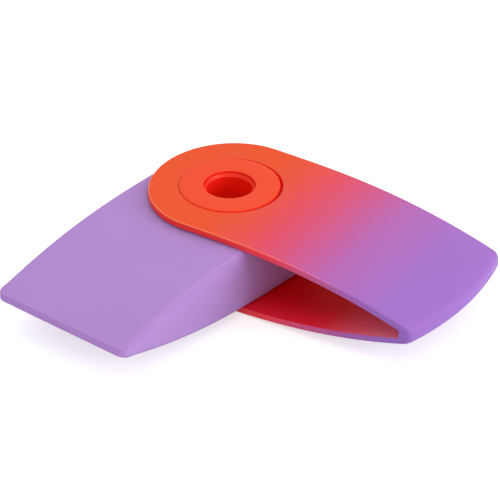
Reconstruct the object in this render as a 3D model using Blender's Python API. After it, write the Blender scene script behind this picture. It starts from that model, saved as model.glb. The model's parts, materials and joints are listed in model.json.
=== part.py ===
"""Block eraser that swings out of a two-cheeked sleeve.

The sleeve's tail points along +X and it lies on z = 0, with its pivot upright.
The eraser is shown swung out, with its tip towards -Y, and the origin is in the
middle of the area that the whole covers. The cheeks are turned about the pivot,
and the block is as thick as its sides can be between them, so it clears the
sleeve at every angle.
"""
import math

import bmesh
import bpy
from mathutils import Matrix

MM = 0.001

# Sleeve: reaches are measured along it from the pivot
HALF_WIDTH = 12.95 * MM
HEAD_REACH = 12.13 * MM
TAIL_REACH = 41.87 * MM
TAIL_ARC = 50.0 * MM
THICKNESS = 12.64 * MM
TAIL_THICKNESS = 2.54 * MM
FLAT_RADIUS = 11.0 * MM
CHEEK_WALL = 1.05 * MM
END_WALL = 1.45 * MM
TAIL_FILLET = 1.0 * MM
TAIL_CORNER = 1.0 * MM
CAVITY_FILLET = 0.35 * MM
CHEEK_EDGE = 0.24 * MM

# Eraser: a little narrower than the sleeve
ERASER_HALF_WIDTH = 12.8 * MM
ERASER_PLAY = 0.25 * MM
TIP_PLAY = 0.28 * MM
TIP_CORNER = 1.6 * MM
ERASER_EDGE = 0.24 * MM
SWING_AT_REST = math.radians(-97.4)

# Hub
FIT_GAP = 0.28 * MM
FLANGE_RADIUS = 7.7 * MM
FLANGE_EDGE = 0.3 * MM
FLANGE_RISE = 0.2 * MM
HUB_RADIUS = 5.0 * MM
HOLE_RADIUS = 3.92 * MM
INNER_WALL = 0.4 * MM
STEP_DEPTH = 0.75 * MM

# Fineness
ROWS = 16
COLUMNS = 14
ROUND = 48
TAIL_STEPS = 4
CAVITY_STEPS = 3
CHEEK_EDGE_STEPS = 2
ERASER_EDGE_STEPS = 3
FLANGE_EDGE_STEPS = 3
SHARP_ANGLE = math.radians(35)

# Worked-out sizes
HALF = THICKNESS / 2
FALL = (HALF - TAIL_THICKNESS / 2) / (TAIL_REACH - FLAT_RADIUS) ** 2
CAVITY_RADIUS = TAIL_REACH - END_WALL
ERASER_HALF = HALF - CHEEK_WALL - ERASER_PLAY
CORNER_SIDE = ERASER_HALF_WIDTH - TIP_CORNER
CORNER_ALONG = math.sqrt((CAVITY_RADIUS - TIP_PLAY - TIP_CORNER) ** 2 - CORNER_SIDE ** 2)
LEFT = CORNER_ALONG * math.cos(SWING_AT_REST) + CORNER_SIDE * math.sin(SWING_AT_REST) - TIP_CORNER
FRONT = CORNER_ALONG * math.sin(SWING_AT_REST) - CORNER_SIDE * abs(math.cos(SWING_AT_REST)) - TIP_CORNER
PIVOT = (-(TAIL_REACH + LEFT) / 2, -(HALF_WIDTH + FRONT) / 2, 0.0)


def cheek_height(radius):
    """Height of a cheek's outer face above the middle plane."""
    return HALF - FALL * max(radius - FLAT_RADIUS, 0.0) ** 2


def cheek_slope(radius):
    """How steeply a cheek's outer face falls, as a positive ratio."""
    return 2 * FALL * max(radius - FLAT_RADIUS, 0.0)


def clear_scene():
    for item in list(bpy.data.objects):
        bpy.data.objects.remove(item)


def material(name, colour, roughness):
    made = bpy.data.materials.new(name)
    made.use_nodes = True
    shader = made.node_tree.nodes["Principled BSDF"]
    shader.inputs["Base Color"].default_value = (*colour, 1.0)
    shader.inputs["Roughness"].default_value = roughness
    return made


def add_object(name, bm, mat):
    """Turns a bmesh into a smooth-shaded object with its own material."""
    bmesh.ops.recalc_face_normals(bm, faces=bm.faces)
    for face in bm.faces:
        face.smooth = True
    mesh = bpy.data.meshes.new(name)
    bm.to_mesh(mesh)
    bm.free()
    item = bpy.data.objects.new(name, mesh)
    item.location = PIVOT
    bpy.context.scene.collection.objects.link(item)
    if mat:
        mesh.materials.append(mat)
    mesh.set_sharp_from_angle(angle=SHARP_ANGLE)
    return item


def turned(name, profile, mat=None):
    """Solid of revolution about Z from a closed (radius, height) profile off the axis."""
    bm = bmesh.new()
    rings = []
    for step in range(ROUND):
        angle = 2 * math.pi * step / ROUND
        rings.append([bm.verts.new((r * math.cos(angle), r * math.sin(angle), z)) for r, z in profile])
    count = len(profile)
    for step in range(ROUND):
        near = rings[step]
        far = rings[(step + 1) % ROUND]
        for i in range(count):
            j = (i + 1) % count
            bm.faces.new((near[i], near[j], far[j], far[i]))
    return add_object(name, bm, mat)


def cutter(name, radius, bottom, top):
    """Round cutter on the pivot axis."""
    bm = bmesh.new()
    place = Matrix.Translation((0, 0, (bottom + top) / 2))
    bmesh.ops.create_cone(bm, cap_ends=True, segments=ROUND, radius1=radius, radius2=radius,
                          depth=top - bottom, matrix=place)
    item = add_object(name, bm, None)
    item.hide_render = True
    item.display_type = "WIRE"
    return item


def cut(item, tool):
    change = item.modifiers.new("hole", "BOOLEAN")
    change.operation = "DIFFERENCE"
    change.solver = "EXACT"
    change.object = tool


def loft_across(sections, edges):
    """Closed body through equal sections set side by side, capped at both ends.

    edges maps a column to the bevel weight of the edges that run along it from
    section to section.
    """
    bm = bmesh.new()
    weight = bm.edges.layers.float.new("bevel_weight_edge")
    grid = [[bm.verts.new(point) for point in section] for section in sections]
    count = len(sections[0])
    for row, following in zip(grid, grid[1:]):
        for i in range(count):
            j = (i + 1) % count
            bm.faces.new((row[i], row[j], following[j], following[i]))
    bm.faces.new(grid[0])
    bm.faces.new(grid[-1])
    for row, following in zip(grid, grid[1:]):
        for i, amount in edges.items():
            bm.edges.get((row[i], following[i]))[weight] = amount
    return bm, grid, weight


def spread(start, stop, count):
    return [start + (stop - start) * i / count for i in range(count + 1)]


def across(half_width):
    """Places across the width, closer together towards both sides."""
    turns = spread(-math.pi / 2, math.pi / 2, ROWS)
    return [half_width * math.sin(turn) for turn in turns]


# Sleeve: U-shaped sections along its length, set side by side across its width


def round_end(t, half_width, reach):
    """Where a head or heel that is half an ellipse about the pivot ends at t."""
    return -reach * math.sqrt(max(1 - (t / half_width) ** 2, 0.0))


def tail_at(t):
    """Where the tail's outer face lies at t: one wide arc with a small arc at each corner."""
    middle = TAIL_REACH - TAIL_ARC
    corner_side = HALF_WIDTH - TAIL_CORNER
    corner = math.sqrt((TAIL_ARC - TAIL_CORNER) ** 2 - corner_side ** 2)
    if abs(t) <= corner_side * TAIL_ARC / (TAIL_ARC - TAIL_CORNER):
        return middle + math.sqrt(TAIL_ARC ** 2 - t * t)
    return middle + corner + math.sqrt(max(TAIL_CORNER ** 2 - (abs(t) - corner_side) ** 2, 0.0))


def end_arc(end, height, slope, radius, steps):
    """Fillet from a falling face to an upright end, as (s, z) from the face down."""
    lean = math.sqrt(1 + slope * slope)
    middle_s = end - radius
    middle_z = height + radius * (slope - lean)
    first = math.atan2(1, slope)
    points = []
    for turn in spread(first, 0.0, steps):
        points.append((middle_s + radius * math.cos(turn), middle_z + radius * math.sin(turn)))
    return points


def half_path(t, end, lift, radius, steps):
    """Upper half of one side of a section: along the cheek from the head, round to the end's middle."""
    head = round_end(t, HALF_WIDTH, HEAD_REACH)
    reach = math.hypot(end, t)
    arc = end_arc(end, cheek_height(reach) - lift, cheek_slope(reach) * end / reach, radius, steps)
    points = []
    for s in spread(head, arc[0][0], COLUMNS)[:-1]:
        points.append((s, cheek_height(math.hypot(s, t)) - lift))
    return points + arc


def sleeve_section(t):
    outer = half_path(t, tail_at(t), 0.0, TAIL_FILLET, TAIL_STEPS)
    inner = half_path(t, math.sqrt(CAVITY_RADIUS ** 2 - t * t), CHEEK_WALL, CAVITY_FILLET, CAVITY_STEPS)
    loop = list(outer)
    loop += [(s, -z) for s, z in reversed(outer)]
    loop += [(s, -z) for s, z in inner]
    loop += list(reversed(inner))
    return [(s, t, HALF + z) for s, z in loop]


def build_sleeve(mat):
    sections = [sleeve_section(t) for t in across(HALF_WIDTH)]
    outer = 2 * (COLUMNS + TAIL_STEPS + 1)
    last = len(sections[0]) - 1
    bm, grid, weight = loft_across(sections, {i: 1.0 for i in (0, outer - 1, outer, last)})
    for row in (grid[0], grid[-1]):
        for first in (0, outer - 1 - COLUMNS, outer, last - COLUMNS):
            for i in range(first, first + COLUMNS):
                bm.edges.get((row[i], row[i + 1]))[weight] = 1.0
    item = add_object("sleeve", bm, mat)
    bevel = item.modifiers.new("edges", "BEVEL")
    bevel.limit_method = "WEIGHT"
    bevel.width = CHEEK_EDGE
    bevel.segments = CHEEK_EDGE_STEPS
    cut(item, cutter("cheek_hole_cutter", FLANGE_RADIUS + FIT_GAP, -HALF, THICKNESS + HALF))
    return item


# Eraser: wedge sections along its length, set side by side across its width


def eraser_height(u):
    """Half thickness, the same across the width: what clears the cheeks where the block's sides pass."""
    widest = math.hypot(max(u, 0.0), ERASER_HALF_WIDTH)
    return cheek_height(widest) - CHEEK_WALL - ERASER_PLAY


def tip_at(v):
    """Where the tip's upright face lies at v."""
    beyond = max(abs(v) - CORNER_SIDE, 0.0)
    return CORNER_ALONG + math.sqrt(max(TIP_CORNER ** 2 - beyond ** 2, 0.0))


def eraser_section(v):
    heel = round_end(v, ERASER_HALF_WIDTH, HEAD_REACH)
    top = [(u, eraser_height(u)) for u in spread(heel, tip_at(v), COLUMNS)]
    loop = top + [(u, -z) for u, z in reversed(top)]
    return [(u, v, HALF + z) for u, z in loop]


def build_eraser(mat):
    sections = [eraser_section(v) for v in across(ERASER_HALF_WIDTH)]
    last = 2 * COLUMNS + 1
    bm, grid, weight = loft_across(sections, {i: 1.0 for i in (0, COLUMNS, COLUMNS + 1, last)})
    for row in (grid[0], grid[-1]):
        for i in range(COLUMNS):
            bm.edges.get((row[i], row[i + 1]))[weight] = 1.0
            bm.edges.get((row[last - i], row[last - i - 1]))[weight] = 1.0
    bmesh.ops.rotate(bm, verts=bm.verts, cent=(0, 0, 0), matrix=Matrix.Rotation(SWING_AT_REST, 3, "Z"))
    item = add_object("eraser", bm, mat)
    bevel = item.modifiers.new("edges", "BEVEL")
    bevel.limit_method = "WEIGHT"
    bevel.width = ERASER_EDGE
    bevel.segments = ERASER_EDGE_STEPS
    cut(item, cutter("eraser_bore_cutter", HUB_RADIUS + FIT_GAP, -HALF, THICKNESS + HALF))
    return item


# Hub halves, turned about the pivot


def round_corner(r, z, order, face):
    """A flange's rounded corner at (r, z), between its round wall and its face; face is 1 up or -1 down."""
    points = []
    for turn in spread(0.0, math.pi / 2, FLANGE_EDGE_STEPS):
        inward = FLANGE_EDGE * (1 - math.cos(turn))
        back = FLANGE_EDGE * (1 - math.sin(turn))
        points.append((r - inward, z - face * back))
    return points if order == "wall_first" else list(reversed(points))


def build_upper_hub(mat):
    top = THICKNESS + FLANGE_RISE
    under = HALF + ERASER_HALF + FIT_GAP
    foot = HALF - ERASER_HALF
    profile = [(HOLE_RADIUS, top), (HOLE_RADIUS, foot), (HUB_RADIUS, foot), (HUB_RADIUS, under)]
    profile += [(FLANGE_RADIUS, under)]
    profile += round_corner(FLANGE_RADIUS, top, "wall_first", 1)
    return turned("upper_hub", profile, mat)


def build_lower_hub(mat):
    bottom = FLANGE_RISE
    over = HALF - ERASER_HALF - FIT_GAP
    end = THICKNESS + FLANGE_RISE - STEP_DEPTH
    tube = HOLE_RADIUS - FIT_GAP
    bore = tube - INNER_WALL
    profile = [(bore, end), (bore, bottom)]
    profile += round_corner(FLANGE_RADIUS, bottom, "face_first", -1)
    profile += [(FLANGE_RADIUS, over), (tube, over), (tube, end)]
    return turned("lower_hub", profile, mat)


def build():
    clear_scene()
    build_sleeve(material("sleeve_plastic", (0.76, 0.12, 0.06), 0.42))
    build_eraser(material("eraser_rubber", (0.46, 0.26, 0.63), 0.85))
    build_upper_hub(material("upper_hub_plastic", (0.80, 0.10, 0.05), 0.38))
    build_lower_hub(material("lower_hub_plastic", (0.80, 0.10, 0.05), 0.38))


build()
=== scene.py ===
"""Looks of the eraser with a swivel sleeve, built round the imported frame.

Every visible piece is a closed mesh of rings and strips, worked out from the
frame's own sizes and the values below. The sleeve is orange-red plastic,
sprayed purple from its tail. The eraser is matte lilac rubber.
"""
import json
import math

import bmesh
import bpy
from mathutils import Matrix, Vector


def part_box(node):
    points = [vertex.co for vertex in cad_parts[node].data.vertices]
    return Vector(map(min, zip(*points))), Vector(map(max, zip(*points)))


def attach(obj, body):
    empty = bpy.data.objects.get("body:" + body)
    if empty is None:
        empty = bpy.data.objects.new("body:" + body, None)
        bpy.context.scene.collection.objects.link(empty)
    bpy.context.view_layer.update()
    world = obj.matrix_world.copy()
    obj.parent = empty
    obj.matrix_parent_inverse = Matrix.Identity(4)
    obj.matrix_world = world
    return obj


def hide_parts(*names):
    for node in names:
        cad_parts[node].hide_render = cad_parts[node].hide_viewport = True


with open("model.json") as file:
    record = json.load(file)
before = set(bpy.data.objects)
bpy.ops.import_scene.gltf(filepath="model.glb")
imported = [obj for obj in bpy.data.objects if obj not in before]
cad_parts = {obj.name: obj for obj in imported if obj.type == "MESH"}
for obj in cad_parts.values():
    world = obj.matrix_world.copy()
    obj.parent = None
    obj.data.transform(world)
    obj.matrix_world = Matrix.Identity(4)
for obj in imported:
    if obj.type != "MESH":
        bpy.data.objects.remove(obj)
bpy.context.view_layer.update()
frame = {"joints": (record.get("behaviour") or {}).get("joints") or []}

MM = 0.001
QUARTER_TURN = math.pi / 2
CENTRED = Vector((0.0, 0.0))

# Sizes read from the frame
joint = frame["joints"][0]
PIVOT = Vector((joint["pos_m"][0], joint["pos_m"][1], 0.0))
sleeve_low, sleeve_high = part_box("sleeve")
eraser_low, eraser_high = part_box("eraser")
upper_low, upper_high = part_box("upper_hub")
lower_low, lower_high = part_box("lower_hub")
HALF_WIDTH = (sleeve_high.y - sleeve_low.y) / 2
HEAD_REACH = PIVOT.x - sleeve_low.x
TAIL_REACH = sleeve_high.x - PIVOT.x
HALF = (sleeve_high.z - sleeve_low.z) / 2
ERASER_HALF = (eraser_high.z - eraser_low.z) / 2
FLANGE_RADIUS = (upper_high.x - upper_low.x) / 2

# Sleeve
TAIL_ARC = 50.0 * MM
TAIL_THICKNESS = 2.54 * MM
FLAT_RADIUS = 11.0 * MM
CHEEK_WALL = 1.05 * MM
END_WALL = 1.45 * MM
TAIL_FILLET = 1.0 * MM
TAIL_CORNER = 1.0 * MM
CAVITY_FILLET = 0.35 * MM
CHEEK_EDGE = 0.32 * MM
INNER_EDGE = 0.05 * MM
INNER_EDGE_FADE = 4.0 * MM
HOLE_EDGE = 0.08 * MM
HOLE_SHIFT = Vector((0.15, 0.17)) * MM
HOLE_FOOT_GAP = 0.03 * MM
HOLE_DEPTH = 0.7 * MM

# Eraser
ERASER_HALF_WIDTH = 12.8 * MM
ERASER_SWELL = 0.17 * MM
TIP_PLAY = 0.18 * MM
TIP_CORNER = 1.6 * MM
ERASER_EDGE = 0.8 * MM
TIP_ROUND = 0.55
SWING_AT_REST = math.radians(-97.4)

# Hub
FIT_GAP = 0.28 * MM
FLANGE_EDGE = 0.1 * MM
FLANGE_SINK = 0.08 * MM
HUB_RADIUS = 5.0 * MM
HOLE_RADIUS = 3.96 * MM
BORE_EDGE = 0.08 * MM
INNER_WALL = 0.34 * MM
TUBE_GAP = 0.06 * MM
LEDGE_EDGE = 0.08 * MM
LEDGE_RISE = 0.42 * MM
LEDGE_DROP = 0.05 * MM

# Steps of the meshes
SIDE_STEPS = 64
HEAD_STEPS = 96
TAIL_SIDE_STEPS = 3
TAIL_CORNER_STEPS = 12
TAIL_ARC_STEPS = 24
TAIL_BLEND_STEPS = 13
CHEEK_STEPS = 40
CHEEK_EDGE_STEPS = 6
CAVITY_STEPS = 4
SMALL_STEPS = 3
HEEL_STEPS = 40
BLOCK_SIDE_STEPS = 60
TIP_CORNER_STEPS = 16
TIP_STEPS = 12
BLOCK_STEPS = 48
BLOCK_EDGE_STEPS = 8
FLANGE_STEPS = 6
TURN_STEPS = 192
SHARP_ANGLE = math.radians(40)
MERGE = 1e-7
NO_LENGTH = 1e-8

# Where one plastic colour gives way to another, or to painted highlight or painted shade: a span in
# millimetres from the pivot, or how level the face is
SPRAY_SPAN = (0.0, 40.0)
# How level the sleeve's rims are where their painted highlight lies
RIM_HIGHLIGHT_LEVEL = (0.88, 0.985)
EDGE_LEVEL = (0.35, 0.75)
# Across the inside, from its painted shade in the middle to its painted light and spray haze at the open sides
OPEN_HAZE_AND_LIGHT_SPAN = (5.0, 12.8)
HAZE_SPAN = (24.0, 36.0)
# Painted shade on the hub's steep faces and down in its bore
STEEP_SHADE_LEVEL = (0.7, 0.9)
BORE_SHADE_LEVEL = (0.1, 0.35)
BORE_SHADE_SPAN = (4.2, 5.0)

# Rubber: its rounded edges with painted shade, its faint clouds and how far light spreads in it
ROUND_LEVEL = 0.55
ROUND_REACH = (0.15, 0.5)
CLOUD_SPAN = (0.3, 0.7)
CLOUD_SCALE = 160.0
PALE_SHARE = 1.03
# How much darker the rounded edges are painted, as painted shade
ROUND_SHADE_SHARE = 0.9
SCATTER = 2.0 * MM
SCATTER_BY_COLOUR = (1.0, 0.35, 1.0)

# Stage
FLOOR_SIZE = 2.0
FLOOR_DROP = 0.02 * MM
FLOOR_GREY = 0.76
FLOOR_LIFT = 0.58
SKY_LOW = 0.63
SKY_LEAN = (0.08, 0.08, 0.42)
KEY_PLACE = Vector((0.95, 0.15, 0.26))
KEY_SIZE = 0.6
KEY_POWER = 3.9
CAMERA_TURN = math.radians(33.15)
CAMERA_RISE = math.radians(32.23)
CAMERA_DISTANCE = 0.748
CAMERA_SENSOR = 36.0
CAMERA_CLIP = (0.05, 20.0)
VIEW_WIDTH = 0.07558
AIM_RIGHT = 3.113 * MM
AIM_AWAY = -8.431 * MM

# Worked-out sizes
FALL = (HALF - TAIL_THICKNESS / 2) / (TAIL_REACH - FLAT_RADIUS) ** 2
CAVITY_RADIUS = TAIL_REACH - END_WALL
CHEEK_HOLE = FLANGE_RADIUS + FIT_GAP
HOLE_FOOT = FLANGE_RADIUS + HOLE_FOOT_GAP
ERASER_PLAY = HALF - CHEEK_WALL - ERASER_HALF - ERASER_SWELL
FLAT_SIDE = ERASER_HALF_WIDTH - ERASER_EDGE
CORNER_SIDE = ERASER_HALF_WIDTH - TIP_CORNER
CORNER_ALONG = math.sqrt((CAVITY_RADIUS - TIP_PLAY - TIP_CORNER) ** 2 - CORNER_SIDE ** 2)
ERASER_TIP = CORNER_ALONG + TIP_CORNER
CAVITY_LEAN = math.atan2(1, 2 * FALL * (CAVITY_RADIUS - FLAT_RADIUS))
CORNER_START = CAVITY_FILLET * (1 - math.cos(CAVITY_LEAN))
SLOT_END = math.sqrt((CAVITY_RADIUS - CORNER_START) ** 2 - HALF_WIDTH ** 2)


def spread(start, stop, count):
    return [start + (stop - start) * i / count for i in range(count + 1)]


def ease(x):
    x = min(max(x, 0.0), 1.0)
    return x * x * (3 - 2 * x)


def cheek_height(radius):
    return HALF - FALL * max(radius - FLAT_RADIUS, 0.0) ** 2


def cheek_slope(radius):
    return 2 * FALL * max(radius - FLAT_RADIUS, 0.0)


# Outlines in plan: points with their outward normals


def line(start, stop, normal, count):
    return [(Vector(start).lerp(Vector(stop), i / count), Vector(normal)) for i in range(count + 1)]


def arc(centre, radius, first, last, count):
    made = []
    for turn in spread(first, last, count):
        out = Vector((math.cos(turn), math.sin(turn)))
        made.append((Vector(centre) + radius * out, out))
    return made


def oval(along, side, first, last, count):
    """Part of an ellipse about the pivot."""
    made = []
    for turn in spread(first, last, count):
        out = Vector((side * math.cos(turn), along * math.sin(turn))).normalized()
        made.append((Vector((along * math.cos(turn), side * math.sin(turn))), out))
    return made


def chain(*runs):
    """Joins runs that start where the one before ends."""
    made = list(runs[0])
    for run in runs[1:]:
        made += run[1:]
    return made


def mirrored(run):
    return [(Vector((p.x, -p.y)), Vector((n.x, -n.y))) for p, n in reversed(run)]


def sleeve_outline():
    """Free edge from the near slot end round the head to the far slot end, and the tail back again."""
    free = chain(
        line((SLOT_END, -HALF_WIDTH), (0, -HALF_WIDTH), (0, -1), SIDE_STEPS),
        oval(HEAD_REACH, HALF_WIDTH, -QUARTER_TURN, -3 * QUARTER_TURN, HEAD_STEPS),
        line((0, HALF_WIDTH), (SLOT_END, HALF_WIDTH), (0, 1), SIDE_STEPS))
    middle = TAIL_REACH - TAIL_ARC
    side = HALF_WIDTH - TAIL_CORNER
    along = math.sqrt((TAIL_ARC - TAIL_CORNER) ** 2 - side ** 2)
    lean = math.atan2(side, along)
    upper = chain(
        line((SLOT_END, HALF_WIDTH), (middle + along, HALF_WIDTH), (0, 1), TAIL_SIDE_STEPS),
        arc((middle + along, side), TAIL_CORNER, QUARTER_TURN, lean, TAIL_CORNER_STEPS),
        arc((middle, 0), TAIL_ARC, lean, 0, TAIL_ARC_STEPS))
    tail = chain(upper, mirrored(upper))
    return free, tail


def eraser_outline():
    """Closed outline from the heel along one side to the tip and back along the other."""
    upper = chain(
        oval(HEAD_REACH, ERASER_HALF_WIDTH, math.pi, QUARTER_TURN, HEEL_STEPS),
        line((0, ERASER_HALF_WIDTH), (CORNER_ALONG, ERASER_HALF_WIDTH), (0, 1), BLOCK_SIDE_STEPS),
        arc((CORNER_ALONG, CORNER_SIDE), TIP_CORNER, QUARTER_TURN, 0, TIP_CORNER_STEPS),
        line((ERASER_TIP, CORNER_SIDE), (ERASER_TIP, 0), (1, 0), TIP_STEPS))
    return chain(upper, mirrored(upper))[:-1]


def angles_of(outline):
    return [math.atan2(point.y, point.x) for point, normal in outline]


# Fillets from a falling face to an upright wall: (inset from the outline, height)


def fillet(height, slope, radius, steps):
    lean = math.sqrt(1 + slope * slope)
    middle = height + radius * (slope - lean)
    first = math.atan2(1, slope)
    made = []
    for turn in spread(first, 0.0, steps):
        made.append((radius - radius * math.cos(turn), middle + radius * math.sin(turn)))
    return made


class Body:
    """Mesh being put together from strips between equally long runs of vertices."""

    def __init__(self):
        self.bm = bmesh.new()

    def run(self, points):
        return [self.bm.verts.new(p) for p in points]

    def strip(self, one, other, slot=0, closed=False):
        count = len(one)
        for i in range(count if closed else count - 1):
            j = (i + 1) % count
            face = self.bm.faces.new((one[i], one[j], other[j], other[i]))
            face.material_index = slot
            face.smooth = True

    def strips(self, runs, slot=0, closed=False):
        for one, other in zip(runs, runs[1:]):
            self.strip(one, other, slot, closed)

    def made(self, name, materials, turn=0.0):
        """Closes the mesh up, sets it on the pivot and gives it its materials."""
        bm = self.bm
        bmesh.ops.remove_doubles(bm, verts=bm.verts, dist=MERGE)
        bmesh.ops.dissolve_degenerate(bm, edges=bm.edges, dist=NO_LENGTH)
        bmesh.ops.recalc_face_normals(bm, faces=bm.faces)
        bmesh.ops.rotate(bm, verts=bm.verts, cent=(0, 0, 0), matrix=Matrix.Rotation(turn, 3, "Z"))
        bmesh.ops.translate(bm, verts=bm.verts, vec=PIVOT)
        mesh = bpy.data.meshes.new(name)
        bm.to_mesh(mesh)
        bm.free()
        for material in materials:
            mesh.materials.append(material)
        mesh.set_sharp_from_angle(angle=SHARP_ANGLE)
        item = bpy.data.objects.new(name, mesh)
        bpy.context.scene.collection.objects.link(item)
        return item


def radial_grid(body, rim, angles, hole, shift, height, count, slot):
    """Face from a closed rim in to a round hole, following height(place in plan)."""
    ends = [Vector((hole * math.cos(a), hole * math.sin(a))) + shift for a in angles]
    runs = [rim]
    for step in range(1, count + 1):
        points = []
        for vert, end in zip(rim, ends):
            place = vert.co.to_2d().lerp(end, step / count)
            points.append((place.x, place.y, height(place)))
        runs.append(body.run(points))
    body.strips(runs, slot, closed=True)
    return runs[-1]


def ring(body, angles, radius, shift, z):
    """Vertices at one height, a radius away from a centre at the given angles."""
    return body.run([(radius * math.cos(a) + shift.x, radius * math.sin(a) + shift.y, z) for a in angles])


# Sleeve: two cheeks with a free edge round head and sides, joined by the tail's wall


def inset_point(place, made, side):
    """Point set in from the outline, above or below the middle plane."""
    point, normal = place
    inset, z = made
    return (point.x - normal.x * inset, point.y - normal.y * inset, HALF + side * z)


def outer_fillet(place, radius):
    point, normal = place
    slope = cheek_slope(point.length) * max(point.normalized().dot(normal), 0.0)
    return fillet(cheek_height(point.length), slope, radius, CHEEK_EDGE_STEPS)


def inner_edge(place, turn):
    """Small round from the free edge to the cheek's inner face, dying out at the slot's end."""
    point, normal = place
    radius = INNER_EDGE * ease((SLOT_END - point.x) / INNER_EDGE_FADE)
    level = cheek_height(point.length) - CHEEK_WALL
    return (radius * (1 - math.cos(turn)), level + radius * (1 - math.sin(turn)))


def cavity_fillet():
    """Round between a cheek's inner face and the end wall."""
    height = cheek_height(CAVITY_RADIUS) - CHEEK_WALL
    made = fillet(height, cheek_slope(CAVITY_RADIUS), CAVITY_FILLET, CAVITY_STEPS)
    start = made[0][0]
    made[0] = (start, cheek_height(CAVITY_RADIUS - start) - CHEEK_WALL)
    return made


def cavity_run(body, bends, made, side):
    """Row of vertices along the end wall, from one open side to the other."""
    inset, z = made
    reach = CAVITY_RADIUS - inset
    share = math.asin(HALF_WIDTH / reach) / bends[0]
    return ring(body, [a * share for a in bends], reach, CENTRED, HALF + side * z)


def line_hole(body, angles, hole, inner_hole, side):
    """Wall of the hub's hole: a round at the top, then the groove, with a lip at its foot."""
    rounds = [hole]
    for turn in spread(0.0, QUARTER_TURN, SMALL_STEPS)[1:]:
        radius = CHEEK_HOLE + HOLE_EDGE * (1 - math.sin(turn))
        z = HALF + side * (HALF - HOLE_EDGE * (1 - math.cos(turn)))
        rounds.append(ring(body, angles, radius, HOLE_SHIFT, z))
    foot = HALF + side * (HALF - HOLE_DEPTH)
    rounds.append(ring(body, angles, CHEEK_HOLE, HOLE_SHIFT, foot))
    body.strips(rounds, 0, closed=True)
    lip = ring(body, angles, HOLE_FOOT, CENTRED, foot)
    # The groove's floor and the step below it take the inside's deep red as painted shade.
    body.strips([rounds[-1], lip, inner_hole], 1, closed=True)


def build_sleeve(materials):
    body = Body()
    free, tail = sleeve_outline()
    last = len(tail) - 1
    whole = free + tail[1:last]
    angles = angles_of(whole)
    bends = angles_of(tail)
    radii = [CHEEK_EDGE] * len(free)
    for i in range(1, last):
        radii.append(CHEEK_EDGE + (TAIL_FILLET - CHEEK_EDGE) * ease(min(i, last - i) / TAIL_BLEND_STEPS))
    outer = [outer_fillet(place, radius) for place, radius in zip(whole, radii)]
    cavity = cavity_fillet()
    walls = {}
    ends = {}
    for side in (1, -1):
        loops = []
        for k in range(CHEEK_EDGE_STEPS + 1):
            loops.append(body.run([inset_point(p, made[k], side) for p, made in zip(whole, outer)]))
        body.strips(loops, 0, closed=True)
        walls[side] = loops[-1]
        hole = radial_grid(body, loops[0], angles, CHEEK_HOLE + HOLE_EDGE, HOLE_SHIFT,
                           lambda place: HALF + side * cheek_height(place.length), CHEEK_STEPS, 0)

        edge = [body.run([inset_point(p, inner_edge(p, turn), side) for p in free])
                for turn in spread(0.0, QUARTER_TURN, SMALL_STEPS)]
        body.strips([walls[side][:len(free)]] + edge, 0)

        ends[side] = [cavity_run(body, bends, made, side) for made in cavity]
        body.strips(ends[side], 1)
        rim = edge[-1] + ends[side][0][1:last]
        inner_hole = radial_grid(body, rim, angles, HOLE_FOOT, CENTRED,
                                 lambda place: HALF + side * (cheek_height(place.length) - CHEEK_WALL),
                                 CHEEK_STEPS, 1)
        line_hole(body, angles, hole, inner_hole, side)

    body.strip(ends[1][-1], ends[-1][-1], 1)
    body.strips(tail_rows(body, tail, outer, cavity, walls, ends), 0)
    return body.made("sleeve_shell", materials)


def tail_rows(body, tail, outer, cavity, walls, ends):
    """Rows of the tail's outside from the upper cheek to the lower one, level with those of the end wall."""
    free_count = len(outer) - len(tail) + 2

    def wall_row(side):
        wall = walls[side]
        return [wall[free_count - 1]] + wall[free_count:] + [wall[0]]

    rows = [wall_row(1)]
    start = outer[0][-1][1]
    steps = range(CAVITY_STEPS + 1)
    for side, k in [(1, k) for k in steps] + [(-1, k) for k in reversed(steps)]:
        share = cavity[k][1] / start
        points = [ends[side][k][0].co]
        for (point, normal), made in zip(tail[1:-1], outer[free_count:]):
            points.append((point.x, point.y, HALF + side * share * made[-1][1]))
        points.append(ends[side][k][-1].co)
        rows.append(body.run(points))
    rows.append(wall_row(-1))
    return rows


# Eraser: one closed outline, rounded over to faces that fall towards the tip


def eraser_height(u):
    """Half thickness at u from the pivot, the same across the width."""
    return cheek_height(math.hypot(max(u, 0.0), FLAT_SIDE)) - CHEEK_WALL - ERASER_PLAY


def eraser_slope(u):
    widest = math.hypot(max(u, 0.0), FLAT_SIDE)
    return cheek_slope(widest) * max(u, 0.0) / widest


def build_eraser(materials):
    body = Body()
    outline = eraser_outline()
    angles = angles_of(outline)
    edges = []
    for point, normal in outline:
        height = eraser_height(point.x)
        slope = eraser_slope(point.x) * max(normal.x, 0.0)
        edges.append(fillet(height, slope, min(ERASER_EDGE, TIP_ROUND * height), BLOCK_EDGE_STEPS))
    walls = []
    bores = []
    for side in (1, -1):
        loops = []
        for k in range(BLOCK_EDGE_STEPS + 1):
            loops.append(body.run([inset_point(p, made[k], side) for p, made in zip(outline, edges)]))
        body.strips(loops, 0, closed=True)
        walls.append(loops[-1])
        bores.append(radial_grid(body, loops[0], angles, HUB_RADIUS + FIT_GAP, CENTRED,
                                 lambda place: HALF + side * eraser_height(place.x), BLOCK_STEPS, 0))
    body.strip(walls[0], walls[1], 0, closed=True)
    body.strip(bores[0], bores[1], 0, closed=True)
    return body.made("eraser_block", materials, SWING_AT_REST)


# Hub halves, turned about the pivot


def corner(r, z, out, up, radius, steps=FLANGE_STEPS):
    """Round corner from an upright wall to a level face; out and up give the way that each faces."""
    made = []
    for turn in spread(0.0, QUARTER_TURN, steps):
        made.append((r + out * radius * (math.cos(turn) - 1), z + up * radius * (math.sin(turn) - 1)))
    return made


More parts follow.
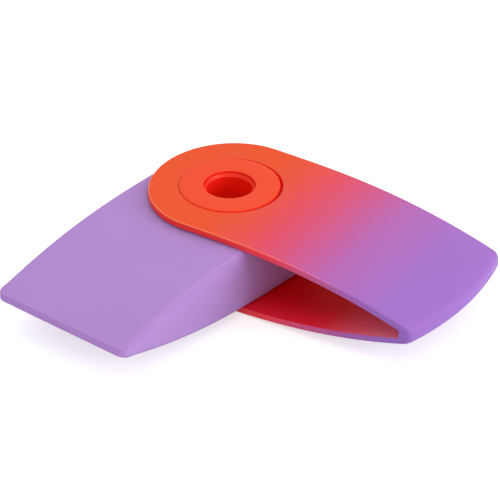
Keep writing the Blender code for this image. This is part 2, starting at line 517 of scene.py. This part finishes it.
def build_turned(name, profile, materials):
    body = Body()
    angles = spread(0.0, 2 * math.pi, TURN_STEPS)[:-1]
    runs = [ring(body, angles, r, CENTRED, z) for r, z in profile]
    body.strips(runs + runs[:1], 0, closed=True)
    return body.made(name, materials)


def build_upper_hub(materials):
    """Flange on the upper cheek, with the wider tube below it."""
    top = upper_high.z - FLANGE_SINK
    foot = upper_low.z
    under = HALF + ERASER_HALF + FIT_GAP
    profile = corner(HOLE_RADIUS, top, -1, 1, BORE_EDGE)
    profile += list(reversed(corner(FLANGE_RADIUS, top, 1, 1, FLANGE_EDGE)))
    profile += [(FLANGE_RADIUS, under), (HUB_RADIUS, under), (HUB_RADIUS, foot), (HOLE_RADIUS, foot)]
    return build_turned("hub_upper_half", profile, materials)


def build_lower_hub(materials):
    """Flange on the lower cheek, with the thinner tube whose sloping end is the ledge in the bore."""
    bottom = lower_low.z
    end = lower_high.z - LEDGE_DROP
    over = HALF - ERASER_HALF - FIT_GAP
    tube = HOLE_RADIUS - TUBE_GAP
    bore = tube - INNER_WALL
    profile = corner(bore, end, -1, 1, LEDGE_EDGE, SMALL_STEPS)
    profile += list(reversed(corner(tube, end + LEDGE_RISE, 1, 1, LEDGE_EDGE, SMALL_STEPS)))
    profile += [(tube, over), (FLANGE_RADIUS, over)]
    profile += corner(FLANGE_RADIUS, bottom, 1, -1, FLANGE_EDGE)
    profile += list(reversed(corner(bore, bottom, -1, -1, BORE_EDGE)))
    return build_turned("hub_lower_half", profile, materials)


# Materials


def to_linear(red, green, blue):
    """Colour given as 8-bit display values, as the shader takes it."""
    made = []
    for value in (red, green, blue):
        share = value / 255
        made.append(share / 12.92 if share <= 0.04045 else ((share + 0.055) / 1.055) ** 2.4)
    return (*made, 1.0)


def scaled(colour, share):
    return tuple(min(1.0, value * share) for value in colour[:3]) + (1.0,)


WHITE = (1.0, 1.0, 1.0, 1.0)
# Sprayed faces, from the head to the tail
ORANGE = to_linear(239, 75, 5)
CORAL = to_linear(236, 74, 60)
ROSE = to_linear(230, 71, 94)
CERISE = to_linear(217, 77, 120)
ORCHID = to_linear(200, 86, 151)
VIOLET = to_linear(181, 98, 177)
PURPLE = to_linear(162, 108, 197)
# Painted highlight along their rims
AMBER = to_linear(255, 132, 84)
SALMON = to_linear(255, 124, 90)
PINK = to_linear(252, 112, 126)
MALLOW = to_linear(220, 120, 186)
# Upright edges
RED = to_linear(254, 54, 40)
CRIMSON = to_linear(254, 65, 76)
MAGENTA = to_linear(202, 88, 149)
PLUM = to_linear(177, 96, 178)
GRAPE = to_linear(156, 106, 198)
# Inside of the sleeve: a deep red as painted shade, lighter and pinker towards the open sides as painted light
# with some spray haze, and a haze of spray towards the tail
BARE_IN_SHADE = to_linear(228, 4, 16)
OPEN_HAZE_AND_LIGHT = to_linear(250, 36, 60)
HAZE = to_linear(240, 127, 158)
# Hub: orange, with painted shade in red on its steep faces and down in the bore
HUB = to_linear(246, 67, 6)
STEEP_SHADE = to_linear(254, 57, 38)
BORE_SHADE = to_linear(244, 30, 12)
# Rubber
LILAC = to_linear(179, 139, 208)


class Shader:
    """Principled material with a few helpers for its nodes."""

    def __init__(self, name, roughness, specular):
        self.material = bpy.data.materials.new(name)
        self.material.use_nodes = True
        self.tree = self.material.node_tree
        self.main = self.tree.nodes["Principled BSDF"]
        self.set("Roughness", roughness)
        self.set("Specular IOR Level", specular)

    def set(self, key, value):
        """Gives an input of the material a constant or another node's output."""
        if isinstance(value, bpy.types.NodeSocket):
            self.link(value, self.main.inputs[key])
        else:
            self.main.inputs[key].default_value = value

    def node(self, kind, **settings):
        made = self.tree.nodes.new(kind)
        for key, value in settings.items():
            setattr(made, key, value)
        return made

    def link(self, source, target):
        self.tree.links.new(source, target)

    def fill(self, sockets, values):
        for socket, value in zip(sockets, values):
            if isinstance(value, bpy.types.NodeSocket):
                self.link(value, socket)
            else:
                socket.default_value = value

    def maths(self, operation, *values):
        made = self.node("ShaderNodeMath", operation=operation)
        self.fill(made.inputs, values)
        return made.outputs[0]

    def remap(self, value, span, falling=False, smooth=True):
        """0 to 1 over the span, or 1 to 0."""
        made = self.node("ShaderNodeMapRange", interpolation_type="SMOOTHSTEP" if smooth else "LINEAR")
        self.link(value, made.inputs["Value"])
        made.inputs["From Min"].default_value, made.inputs["From Max"].default_value = span
        made.inputs["To Min"].default_value = 1.0 if falling else 0.0
        made.inputs["To Max"].default_value = 0.0 if falling else 1.0
        return made.outputs["Result"]

    def ramp(self, value, stops):
        made = self.node("ShaderNodeValToRGB")
        made.color_ramp.interpolation = "LINEAR"
        elements = made.color_ramp.elements
        for place, colour in stops[1:-1]:
            elements.new(place).color = colour
        elements[0].position, elements[0].color = stops[0]
        elements[-1].position, elements[-1].color = stops[-1]
        self.link(value, made.inputs["Fac"])
        return made.outputs["Color"]

    def mix(self, share, one, two):
        made = self.node("ShaderNodeMix", data_type="RGBA")
        self.link(share, made.inputs["Factor"])
        self.fill([s for s in made.inputs if s.type == "RGBA"], (one, two))
        return [s for s in made.outputs if s.type == "RGBA"][0]

    def noise(self, place, scale, detail=2.0):
        made = self.node("ShaderNodeTexNoise")
        made.inputs["Scale"].default_value = scale
        made.inputs["Detail"].default_value = detail
        self.link(place.outputs["Object"], made.inputs["Vector"])
        return made.outputs["Fac"]

    def bump(self, height, strength, distance):
        made = self.node("ShaderNodeBump")
        made.inputs["Strength"].default_value = strength
        made.inputs["Distance"].default_value = distance
        self.link(height, made.inputs["Height"])
        self.set("Normal", made.outputs["Normal"])


def from_pivot(shader, place):
    """Distances from the pivot along and across the sleeve in millimetres."""
    shifted = shader.node("ShaderNodeVectorMath", operation="SUBTRACT")
    shader.link(place.outputs["Object"], shifted.inputs[0])
    shifted.inputs[1].default_value = PIVOT
    split = shader.node("ShaderNodeSeparateXYZ")
    shader.link(shifted.outputs[0], split.inputs[0])
    along = shader.maths("DIVIDE", split.outputs["X"], MM)
    across = shader.maths("DIVIDE", split.outputs["Y"], MM)
    return along, shader.maths("ABSOLUTE", across)


def levelness(shader, place):
    """1 on level faces, 0 on upright ones."""
    normal = shader.node("ShaderNodeSeparateXYZ")
    shader.link(place.outputs["Normal"], normal.inputs[0])
    return shader.maths("ABSOLUTE", normal.outputs["Z"])


def moulded_grain(shader, place):
    shader.bump(shader.noise(place, scale=5200.0), strength=0.06, distance=0.04 * MM)


def sprayed_plastic():
    """Spray over orange-red plastic, fading out towards the head and thinner on the upright edges, with a
    painted highlight along the rims.
    """
    shader = Shader("sprayed_plastic", roughness=0.42, specular=0.25)
    place = shader.node("ShaderNodeTexCoord")
    along, across = from_pivot(shader, place)
    share = shader.remap(along, SPRAY_SPAN, smooth=False)
    face = shader.ramp(share, [(0.08, ORANGE), (0.225, CORAL), (0.325, ROSE), (0.425, CERISE),
                               (0.525, ORCHID), (0.625, VIOLET), (0.86, PURPLE)])
    rim = shader.ramp(share, [(0.0, AMBER), (0.28, SALMON), (0.44, PINK), (0.6, MALLOW), (0.74, PURPLE)])
    edge = shader.ramp(share, [(0.0, RED), (0.38, CRIMSON), (0.6, MAGENTA), (0.72, PLUM), (0.9, GRAPE)])
    level = levelness(shader, place)
    # Painted highlight on the rounding between each sprayed face and its upright edge
    face_with_rim_highlight = shader.mix(shader.remap(level, RIM_HIGHLIGHT_LEVEL, falling=True), face, rim)
    upright = shader.remap(level, EDGE_LEVEL, falling=True)
    shader.set("Base Color", shader.mix(upright, face_with_rim_highlight, edge))
    moulded_grain(shader, place)
    return shader.material


def shaded_bare_plastic():
    """Inside of the sleeve: red plastic painted a deep red as painted shade, lighter towards the open sides as
    painted light with a haze of spray, and with a haze of spray towards the tail.
    """
    shader = Shader("shaded_bare_plastic", roughness=0.5, specular=0.05)
    place = shader.node("ShaderNodeTexCoord")
    along, across = from_pivot(shader, place)
    # Painted shade deep inside, giving way to painted light and spray haze towards the open sides
    side = shader.mix(shader.remap(across, OPEN_HAZE_AND_LIGHT_SPAN), BARE_IN_SHADE, OPEN_HAZE_AND_LIGHT)
    haze = shader.remap(along, HAZE_SPAN, smooth=False)
    shader.set("Base Color", shader.mix(haze, side, HAZE))
    moulded_grain(shader, place)
    return shader.material


def hub_plastic(name):
    """Orange plastic with painted shade: redder on its steep faces and down in the bore, where light comes
    through.
    """
    shader = Shader(name, roughness=0.36, specular=0.25)
    place = shader.node("ShaderNodeTexCoord")
    along, across = from_pivot(shader, place)
    square = shader.maths("MULTIPLY_ADD", along, along, shader.maths("MULTIPLY", across, across))
    inside = shader.remap(shader.maths("SQRT", square), BORE_SHADE_SPAN, falling=True)
    level = levelness(shader, place)
    # Painted shade: redder on the steep faces and down in the bore
    steep_painted_shade = shader.mix(shader.remap(level, STEEP_SHADE_LEVEL, falling=True), HUB, STEEP_SHADE)
    bore = shader.maths("MULTIPLY", shader.remap(level, BORE_SHADE_LEVEL, falling=True), inside)
    shader.set("Base Color", shader.mix(bore, steep_painted_shade, BORE_SHADE))
    moulded_grain(shader, place)
    return shader.material


def rubber():
    """Lilac rubber, faintly clouded, painted a little darker on its rounded edges as painted shade, and soft
    in its shadows.
    """
    shader = Shader("lilac_rubber", roughness=0.75, specular=0.3)
    place = shader.node("ShaderNodeTexCoord")
    tone = shader.remap(shader.noise(place, CLOUD_SCALE, detail=3.0), CLOUD_SPAN)
    level = levelness(shader, place)
    tilt = shader.maths("ABSOLUTE", shader.maths("SUBTRACT", level, ROUND_LEVEL))
    rounded = shader.remap(tilt, ROUND_REACH, falling=True)
    clouded = shader.mix(tone, LILAC, scaled(LILAC, PALE_SHARE))
    # Painted shade: the rounded edges a little darker
    shader.set("Base Color", shader.mix(rounded, clouded, scaled(LILAC, ROUND_SHADE_SHARE)))
    shader.bump(shader.noise(place, scale=3800.0, detail=4.0), strength=0.12, distance=0.06 * MM)
    shader.set("Subsurface Weight", 1.0)
    shader.set("Subsurface Radius", SCATTER_BY_COLOUR)
    shader.set("Subsurface Scale", SCATTER)
    shader.main.subsurface_method = "BURLEY"
    return shader.material


# Pieces on the frame

shell = build_sleeve([sprayed_plastic(), shaded_bare_plastic()])
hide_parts("sleeve")
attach(shell, "sleeve")

block = build_eraser([rubber()])
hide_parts("eraser")
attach(block, "eraser")

upper = build_upper_hub([hub_plastic("hub_plastic")])
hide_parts("upper_hub")
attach(upper, "eraser")

lower = build_lower_hub([hub_plastic("hub_plastic_lower")])
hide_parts("lower_hub")
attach(lower, "eraser")


# Stage: pale floor, soft light and the camera


def make_floor():
    """Pale floor that keeps the shadow and is seen as white where it is fully lit."""
    bm = bmesh.new()
    bmesh.ops.create_grid(bm, x_segments=1, y_segments=1, size=FLOOR_SIZE)
    mesh = bpy.data.meshes.new("floor")
    bm.to_mesh(mesh)
    bm.free()
    item = bpy.data.objects.new("floor", mesh)
    item.location.z = -FLOOR_DROP
    bpy.context.scene.collection.objects.link(item)
    shader = Shader("floor_white", roughness=0.9, specular=0.0)
    shader.set("Base Color", (FLOOR_GREY, FLOOR_GREY, FLOOR_GREY, 1.0))
    light = shader.node("ShaderNodeLightPath")
    seen = shader.maths("MAXIMUM", light.outputs["Is Camera Ray"], light.outputs["Is Glossy Ray"])
    seen = shader.maths("MAXIMUM", seen, light.outputs["Is Transmission Ray"])
    shader.set("Emission Color", WHITE)
    shader.set("Emission Strength", shader.maths("MULTIPLY", seen, FLOOR_LIFT))
    mesh.materials.append(shader.material)


def make_world():
    """White sky, brightest overhead and a little brighter to the right and behind than in front."""
    world = bpy.data.worlds.new("soft_white")
    world.use_nodes = True
    tree = world.node_tree
    place = tree.nodes.new("ShaderNodeTexCoord")
    lean = tree.nodes.new("ShaderNodeVectorMath")
    lean.operation = "DOT_PRODUCT"
    tree.links.new(place.outputs["Generated"], lean.inputs[0])
    lean.inputs[1].default_value = SKY_LEAN
    rise = tree.nodes.new("ShaderNodeMath")
    rise.operation = "ADD"
    tree.links.new(lean.outputs["Value"], rise.inputs[0])
    rise.inputs[1].default_value = SKY_LOW
    back = tree.nodes["Background"]
    back.inputs["Color"].default_value = WHITE
    tree.links.new(rise.outputs[0], back.inputs["Strength"])
    bpy.context.scene.world = world


def make_key():
    """Large soft lamp low on the right."""
    light = bpy.data.lights.new("key", "AREA")
    light.shape = "SQUARE"
    light.size = KEY_SIZE
    light.energy = KEY_POWER
    item = bpy.data.objects.new("key", light)
    item.location = PIVOT + KEY_PLACE
    item.rotation_mode = "QUATERNION"
    item.rotation_quaternion = (-KEY_PLACE).to_track_quat("-Z", "Y")
    bpy.context.scene.collection.objects.link(item)


def make_camera():
    """Long lens at the photograph's angle: the values are the view's turn, height, aim and scale."""
    right = Vector((math.cos(CAMERA_TURN), math.sin(CAMERA_TURN), 0.0))
    away = Vector((-math.sin(CAMERA_TURN), math.cos(CAMERA_TURN), 0.0))
    ahead = away * math.cos(CAMERA_RISE) - Vector((0.0, 0.0, math.sin(CAMERA_RISE)))
    aim = PIVOT + Vector((0, 0, HALF)) + right * AIM_RIGHT + away * AIM_AWAY
    data = bpy.data.cameras.new("camera")
    data.sensor_width = CAMERA_SENSOR
    data.lens = CAMERA_SENSOR * CAMERA_DISTANCE / VIEW_WIDTH
    data.clip_start, data.clip_end = CAMERA_CLIP
    data.dof.use_dof = False
    item = bpy.data.objects.new("camera", data)
    item.location = aim - ahead * CAMERA_DISTANCE
    item.rotation_mode = "QUATERNION"
    item.rotation_quaternion = ahead.to_track_quat("-Z", "Y")
    bpy.context.scene.collection.objects.link(item)
    bpy.context.scene.camera = item


make_floor()
make_world()
make_key()
make_camera()

view = bpy.context.scene.view_settings
view.view_transform = "Standard"
